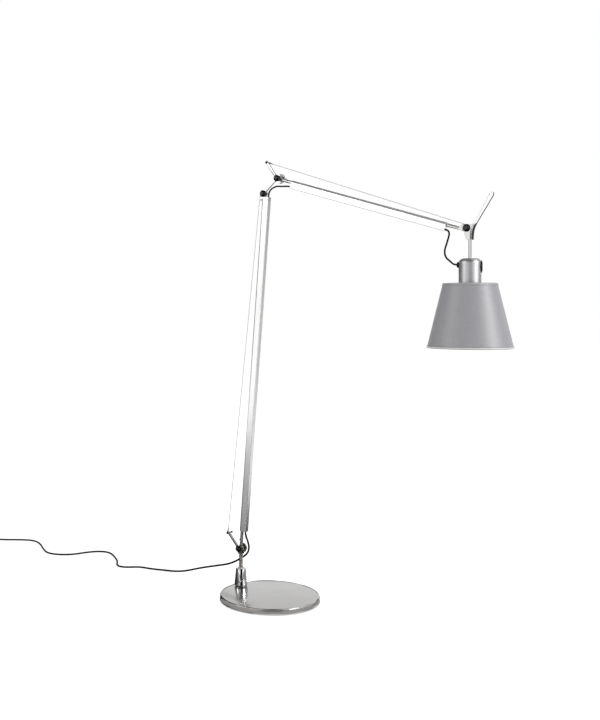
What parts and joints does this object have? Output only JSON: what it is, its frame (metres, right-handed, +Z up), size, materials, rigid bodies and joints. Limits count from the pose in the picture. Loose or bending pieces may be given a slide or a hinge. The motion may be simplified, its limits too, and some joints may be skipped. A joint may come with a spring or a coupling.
{
  "type": "articulated reading floor lamp",
  "caption": "Floor lamp with a heavy round foot, two slim spring-balanced arms, friction knobs and a conical fabric shade that turns and tilts.",
  "frame": {"origin": "middle of the foot's underside, on the floor", "axes": "+Z up; the arms reach towards +X in a plane parallel to XZ; every arm hinge turns about Y"},
  "size_m": [1.6322, 0.3107, 1.0233],
  "materials": {
    "cover_steel": "satin brushed",
    "weight_iron": "raw cast",
    "foot_rubber": "matt",
    "zinc_steel": "machined",
    "socket_chrome": "polished",
    "bush_nylon": "natural nylon",
    "arm_aluminium": "satin anodised",
    "rod_steel": "drawn",
    "lever_aluminium": "polished",
    "knob_black": "moulded",
    "pulley_nylon": "moulded",
    "spring_steel": "drawn",
    "wire_steel": "stranded",
    "lead_black": "satin sheath",
    "mains_black": "satin sheath",
    "holder_silver": "satin anodised",
    "switch_black": "gloss",
    "rim_black": "moulded",
    "sleeve_white": "moulded",
    "contact_brass": "plain",
    "bulb_cap_steel": "plated",
    "bulb_glass": "opal",
    "shade_fabric": "woven over a stiff liner",
    "shade_wire": "white enamel",
    "clamp_plastic": "moulded",
    "plug_black": "moulded"
  },
  "bodies": {
    "base": {"base_cover": "cover_steel", "base_weight": "weight_iron", "foot_pad": "foot_rubber", "socket_screw": "zinc_steel", "stem_socket": "socket_chrome", "stem_bush": "bush_nylon", "mains_cord": "mains_black", "cord_coil": "mains_black", "cord_tail": "mains_black", "plug": "plug_black"},
    "stem": {"stem": "rod_steel", "lower_lever": "lever_aluminium", "lower_cross_pin": "zinc_steel", "lower_pivot_pin": "zinc_steel", "lead_turn": "mains_black"},
    "lower_arm": {"lower_profile": "arm_aluminium", "lower_foot_rod": "rod_steel", "lower_arm_pins": "zinc_steel", "lower_end_fitting": "lever_aluminium", "lower_pulley": "pulley_nylon", "lower_spring": "spring_steel", "lower_lead": "lead_black", "lower_wire": "wire_steel", "lead_loop": "mains_black"},
    "elbow": {"elbow_link": "lever_aluminium", "elbow_pins": "zinc_steel", "elbow_spacers": "pulley_nylon", "upper_cross_pin": "zinc_steel", "elbow_lead_low": "lead_black"},
    "upper_arm": {"upper_profile": "arm_aluminium", "upper_foot_rod": "rod_steel", "upper_arm_pins": "zinc_steel", "upper_end_fitting": "lever_aluminium", "upper_pulley": "pulley_nylon", "upper_spring": "spring_steel", "upper_lead": "lead_black", "upper_wire": "wire_steel", "elbow_lead_high": "lead_black"},
    "head": {"head_bracket": "lever_aluminium", "head_handle": "lever_aluminium", "hanger_rod": "rod_steel", "head_pivot_pin": "zinc_steel", "head_lead_high": "lead_black"},
    "lamp_holder": {"holder_shell": "holder_silver", "switch_rim": "rim_black", "holder_inside": "sleeve_white", "lead_gland": "rim_black", "socket_sleeve": "sleeve_white", "socket_contacts": "contact_brass", "bulb_cap": "bulb_cap_steel", "bulb_globe": "bulb_glass", "shade": "shade_fabric", "shade_frame": "shade_wire", "shade_clamp_ring": "clamp_plastic", "head_lead_low": "lead_black"},
    "switch": {"switch_button": "switch_black"},
    "lower_knob": {"lower_knob": "knob_black"},
    "elbow_low_knob": {"elbow_low_knob": "knob_black"},
    "elbow_high_knob": {"elbow_high_knob": "knob_black"},
    "head_knob": {"head_knob": "knob_black"}
  },
  "joints": [
    {"name": "stem_swivel", "type": "hinge", "parent": "base", "child": "stem", "pos_m": [-0.0932, 0.0132, 0.04], "axis": [0, 0, 1], "range_deg": [-150, 150], "deforming": ["lead_turn"]},
    {"name": "lower_hinge", "type": "hinge", "parent": "stem", "child": "lower_arm", "pos_m": [-0.0932, 0.0132, 0.1045], "axis": [0, 1, 0], "range_deg": [-25, 30], "deforming": ["lower_wire", "lead_loop"]},
    {"name": "elbow_low_hinge", "type": "hinge", "parent": "lower_arm", "child": "elbow", "pos_m": [-0.02226, 0.0132, 0.94581], "axis": [0, 1, 0], "range_deg": [-15, 15], "deforming": ["elbow_lead_low"]},
    {"name": "elbow_high_hinge", "type": "hinge", "parent": "elbow", "child": "upper_arm", "pos_m": [0.01683, 0.0132, 0.97826], "axis": [0, 1, 0], "range_deg": [-30, 25], "deforming": ["upper_wire", "elbow_lead_high"]},
    {"name": "head_hinge", "type": "hinge", "parent": "upper_arm", "child": "head", "pos_m": [0.47845, 0.0132, 0.83987], "axis": [0, 1, 0], "range_deg": [-30, 30], "deforming": ["head_lead_high"]},
    {"name": "holder_swivel", "type": "hinge", "parent": "head", "child": "lamp_holder", "pos_m": [0.48185, 0.0132, 0.77487], "axis": [0, 0, 1], "range_deg": [-90, 90], "deforming": ["head_lead_low"]},
    {"name": "switch_press", "type": "slide", "parent": "lamp_holder", "child": "switch", "axis": [-0.9397, -0.342, 0], "range_m": [0, 0.0012], "stiffness_N_per_m": 600},
    {"name": "lower_knob_turn", "type": "hinge", "parent": "stem", "child": "lower_knob", "pos_m": [-0.0932, 0.0006, 0.1045], "axis": [0, 1, 0], "range_deg": [0, 180]},
    {"name": "elbow_low_knob_turn", "type": "hinge", "parent": "elbow", "child": "elbow_low_knob", "pos_m": [-0.02226, 0.0006, 0.94581], "axis": [0, 1, 0], "range_deg": [0, 180]},
    {"name": "elbow_high_knob_turn", "type": "hinge", "parent": "elbow", "child": "elbow_high_knob", "pos_m": [0.01683, 0.0006, 0.97826], "axis": [0, 1, 0], "range_deg": [0, 180]},
    {"name": "head_knob_turn", "type": "hinge", "parent": "head", "child": "head_knob", "pos_m": [0.47845, 0.0006, 0.83987], "axis": [0, 1, 0], "range_deg": [0, 180]}
  ]
}
